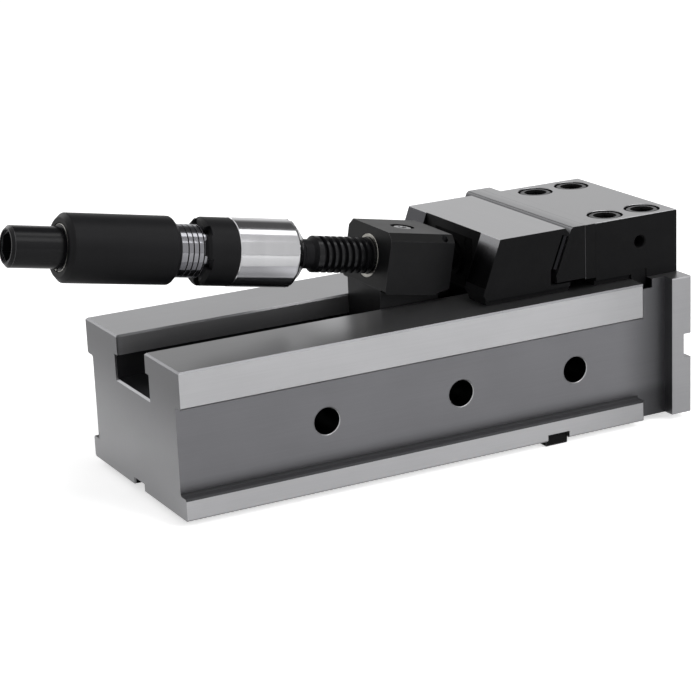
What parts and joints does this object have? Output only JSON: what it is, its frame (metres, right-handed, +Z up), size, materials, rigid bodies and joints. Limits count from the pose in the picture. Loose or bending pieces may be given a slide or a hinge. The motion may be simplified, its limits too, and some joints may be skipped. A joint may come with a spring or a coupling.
{
  "type": "precision vise",
  "caption": "Machine vise with a ground base, fixed jaw, pull-down movable jaw and an inclined booster spindle that slides with its nut block.",
  "frame": {"origin": "on the base's ground bottom face, midway between its left end and the fixed jaw's rear face", "axes": "+X from the spindle end to the fixed jaw, +Z up, -Y the operator's side"},
  "size_m": [0.3799, 0.125, 0.1586],
  "materials": {
    "ground_steel": "surface ground",
    "blackened_steel": "ground and blackened",
    "blackened_screw": "blackened",
    "blackened_grip": "turned and blackened",
    "polished_steel": "polished",
    "scale_steel": "turned, with engraved rings",
    "bright_screw": "turned",
    "bronze": "turned",
    "thread_steel": "blackened, oiled",
    "hardened_steel": "hardened and ground",
    "spring_steel": "spring wire and sheet",
    "seal_rubber": "moulded"
  },
  "bodies": {
    "base": {"base": "ground_steel", "table_keys": "blackened_steel", "table_key_screws": "blackened_screw", "fixed_jaw": "blackened_steel", "fixed_jaw_key": "blackened_steel", "fixed_jaw_screws": "blackened_screw", "fixed_jaw_plate": "blackened_steel", "fixed_jaw_plate_screws": "blackened_screw"},
    "nut_carriage": {"nut_block": "blackened_steel", "nut_bush": "bronze", "nut_lock_screw": "bright_screw"},
    "movable_jaw": {"movable_jaw": "blackened_steel", "slide_plate": "blackened_steel", "slide_plate_screws": "blackened_screw", "insert_studs": "hardened_steel", "insert_springs": "spring_steel", "jaw_keep": "blackened_steel", "jaw_keep_screws": "blackened_screw", "pad_keeper": "blackened_steel", "pad_keeper_screws": "blackened_screw"},
    "jaw_insert": {"jaw_insert": "blackened_steel"},
    "thrust_pad": {"thrust_pad": "hardened_steel", "pad_snap_ring": "spring_steel"},
    "spindle": {"threaded_spindle": "thread_steel", "push_rod": "hardened_steel", "booster_cylinder": "polished_steel", "force_piston": "hardened_steel", "force_piston_seal": "seal_rubber", "piston_spring": "spring_steel", "cylinder_ring_nut": "blackened_grip", "plunger_seal": "seal_rubber", "force_scale_sleeve": "scale_steel"},
    "plunger": {"plunger": "hardened_steel", "plunger_bearing": "hardened_steel"},
    "drive": {"drive_shaft": "blackened_grip", "grip_sleeve": "blackened_grip", "shaft_key": "hardened_steel", "grip_retaining_ring": "bright_screw"}
  },
  "joints": [
    {"name": "carriage_slide", "type": "slide", "parent": "base", "child": "nut_carriage", "axis": [-1, 0, 0], "range_m": [0, 0.12]},
    {"name": "jaw_feed", "type": "slide", "parent": "nut_carriage", "child": "movable_jaw", "axis": [1, 0, 0], "range_m": [-0.00984, 0]},
    {"name": "spindle_feed", "type": "slide", "parent": "nut_carriage", "child": "thrust_pad", "axis": [0.9842, 0, -0.1771], "range_m": [-0.01, 0]},
    {"name": "spindle_turn", "type": "hinge", "parent": "thrust_pad", "child": "spindle", "pos_m": [0.0445, 0, 0.0951], "axis": [0.9842, 0, -0.1771], "range_deg": [-900, 0]},
    {"name": "power_stroke", "type": "slide", "parent": "spindle", "child": "plunger", "axis": [0.9842, 0, -0.1771], "range_m": [0, 0.012]},
    {"name": "power_turn", "type": "hinge", "parent": "plunger", "child": "drive", "pos_m": [-0.21139, 0, 0.14114], "axis": [0.9842, 0, -0.1771], "range_deg": [0, 1440]},
    {"name": "insert_pulldown", "type": "slide", "parent": "movable_jaw", "child": "jaw_insert", "axis": [-0.3746, 0, -0.9272], "range_m": [0, 0.0008], "stiffness_N_per_m": 4000, "springref_m": -0.004, "deforming": ["insert_springs"]}
  ],
  "couplings": [
    {"joint": "spindle_turn", "follows": "spindle_feed", "rad_per_m": 1570.8},
    {"joint": "jaw_feed", "follows": "spindle_feed", "ratio": 0.9842},
    {"joint": "power_turn", "follows": "power_stroke", "rad_per_m": 2094.4}
  ]
}
